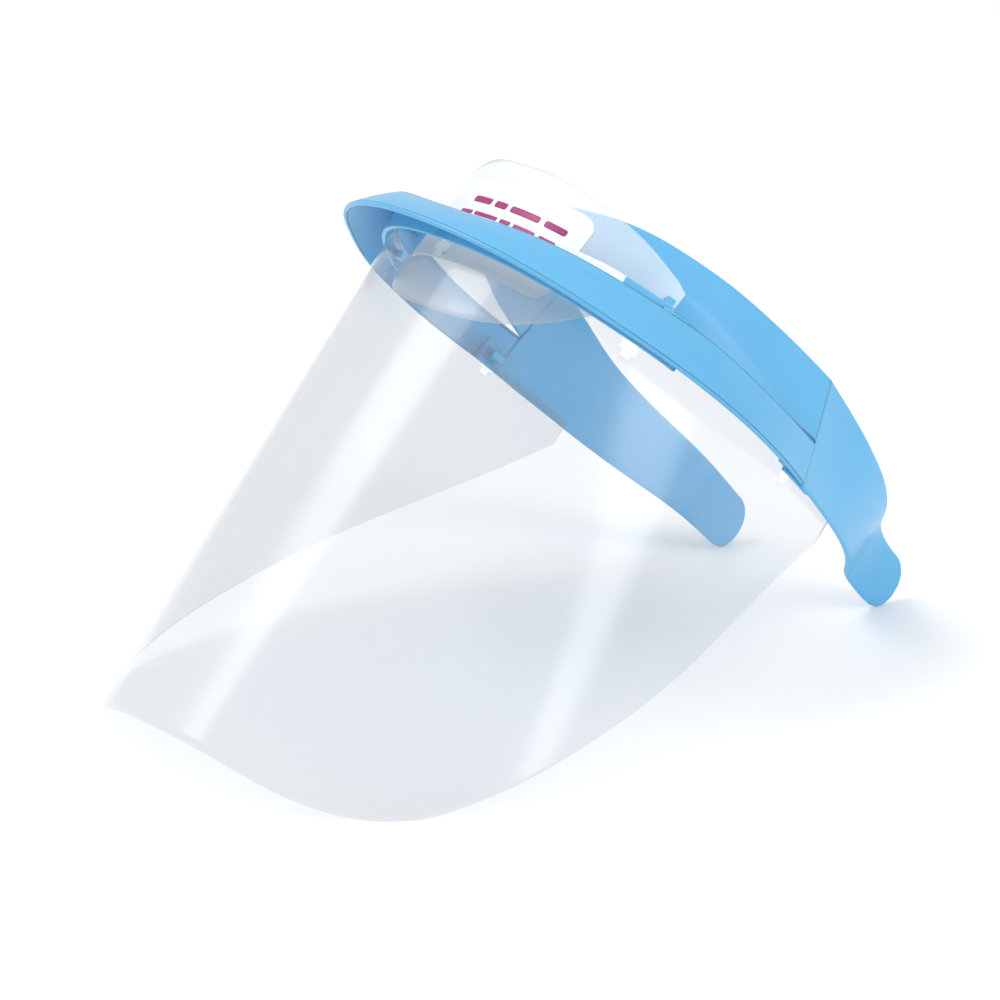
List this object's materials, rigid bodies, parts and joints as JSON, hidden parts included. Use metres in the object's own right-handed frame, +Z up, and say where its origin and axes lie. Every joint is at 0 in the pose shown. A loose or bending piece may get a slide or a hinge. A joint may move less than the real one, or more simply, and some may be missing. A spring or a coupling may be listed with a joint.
{
  "type": "face shield",
  "caption": "Face shield: a moulded visor headpiece with wrap-round arms, a large clear film hooked under its brim, and a clear brow strip with a plain label.",
  "frame": {"origin": "on the ground, under the middle of the shield's bounding box, as it rests on the film's lower corners and the tips of both arms", "axes": "+Z up, -Y ahead of the wearer's face, +X the wearer's left; the headpiece leans back 42.93 degrees"},
  "size_m": [0.1982, 0.3222, 0.1878],
  "materials": {
    "visor_blue": "fine satin",
    "clear_film": "clear gloss",
    "clear_strip": "clear gloss",
    "label_white": "satin print stock"
  },
  "bodies": {
    "visor": {"brim": "visor_blue", "crown_band": "visor_blue", "left_temple": "visor_blue", "right_temple": "visor_blue", "front_rail": "visor_blue", "left_rail": "visor_blue", "right_rail": "visor_blue", "centre_peg": "visor_blue", "left_front_peg": "visor_blue", "right_front_peg": "visor_blue", "left_rear_peg": "visor_blue", "right_rear_peg": "visor_blue", "left_clip": "visor_blue", "right_clip": "visor_blue"},
    "film": {"face_film": "clear_film"},
    "strip": {"brow_strip": "clear_strip", "label": "label_white"},
    "left_arm": {"left_arm": "visor_blue"},
    "right_arm": {"right_arm": "visor_blue"}
  },
  "joints": [
    {"name": "film_release", "type": "slide", "parent": "visor", "child": "film", "axis": [0, 0.6811, 0.7322], "range_m": [0, 0.0042]},
    {"name": "strip_release", "type": "slide", "parent": "visor", "child": "strip", "axis": [0, 0.7673, 0.6413], "range_m": [0, 0.012]},
    {"name": "left_arm_bend", "type": "hinge", "parent": "visor", "child": "left_arm", "pos_m": [0.081, 0.07776, 0.06903], "axis": [-0.2321, 0.6093, 0.7582], "range_deg": [-10, 1], "stiffness_Nm_per_rad": 2},
    {"name": "right_arm_bend", "type": "hinge", "parent": "visor", "child": "right_arm", "pos_m": [-0.081, 0.07776, 0.06903], "axis": [0.2321, 0.6093, 0.7582], "range_deg": [-1, 10], "stiffness_Nm_per_rad": 2}
  ]
}
